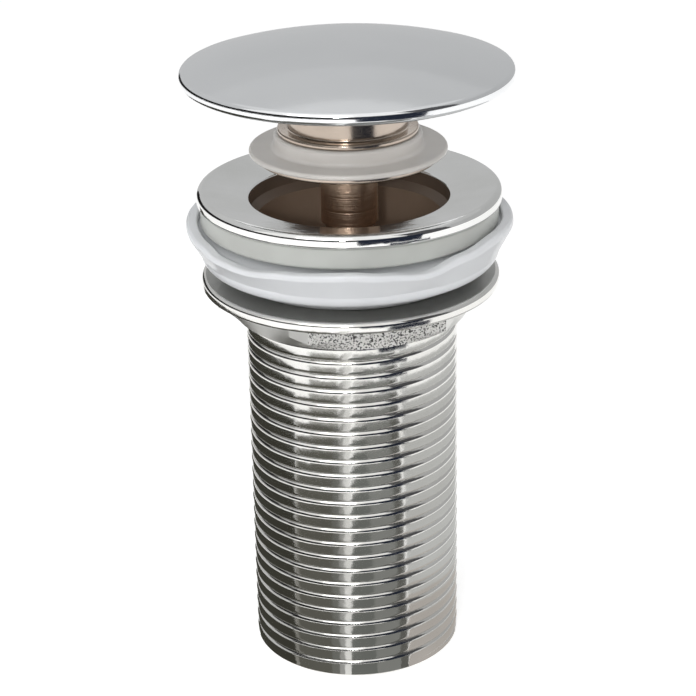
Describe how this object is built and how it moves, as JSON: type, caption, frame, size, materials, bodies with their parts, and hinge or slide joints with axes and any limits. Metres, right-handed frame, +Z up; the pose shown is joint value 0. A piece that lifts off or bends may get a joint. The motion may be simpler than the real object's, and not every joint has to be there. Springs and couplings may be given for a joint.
{
  "type": "pop up basin waste",
  "caption": "Push-push pop up basin waste: domed mushroom plug with a lip seal, flanged threaded tail, gasket, tapered cup washer and flanged back nut.",
  "frame": {"origin": "centre of the tail's open lower end, on the surface that the waste stands on", "axes": "+Z up along the tail towards the cap; -Y faces the camera, with a flat of the back nut turned 12 degrees from it"},
  "size_m": [0.0636, 0.0636, 0.1264],
  "materials": {
    "chrome": "polished",
    "nickel": "bright turned",
    "plated_brass": "nickel plated",
    "bare_brass": "machined",
    "silicone": "translucent",
    "grey_rubber": "smooth",
    "black_rubber": "smooth",
    "white_plastic": "glossy",
    "steel": "drawn"
  },
  "bodies": {
    "waste_body": {"tail_body": "plated_brass", "flange_gasket": "grey_rubber", "spider": "bare_brass", "cam_post": "bare_brass", "lock_nut": "bare_brass", "lock_washer": "steel", "return_spring": "steel"},
    "plug": {"plug_cap": "chrome", "plug_neck": "nickel", "neck_o_ring": "black_rubber", "plug_seal": "silicone", "seal_retainer": "nickel", "cap_stud": "steel", "sleeve_head": "bare_brass", "push_sleeve": "bare_brass"},
    "latch": {"latch_wire": "steel"},
    "washer": {"cup_washer": "white_plastic"},
    "nut": {"back_nut": "plated_brass"}
  },
  "joints": [
    {"name": "plug_slide", "type": "slide", "parent": "waste_body", "child": "plug", "axis": [0, 0, 1], "range_m": [-0.0115, 0], "stiffness_N_per_m": 1200, "springref_m": 0.013, "deforming": ["return_spring"]},
    {"name": "latch_swing", "type": "hinge", "parent": "plug", "child": "latch", "pos_m": [0, 0.00395, 0.1134], "axis": [0, 1, 0], "range_deg": [0, 8.5]},
    {"name": "washer_travel", "type": "slide", "parent": "waste_body", "child": "washer", "axis": [0, 0, 1], "range_m": [-0.06, 0]},
    {"name": "nut_turn", "type": "hinge", "parent": "washer", "child": "nut", "pos_m": [0, 0, 0.077], "axis": [0, 0, 1], "range_deg": [-7200, 0]}
  ],
  "couplings": [
    {"joint": "latch_swing", "follows": "plug_slide", "rad_per_m": -12.84},
    {"joint": "washer_travel", "follows": "nut_turn", "m_per_rad": 0.00047587}
  ]
}
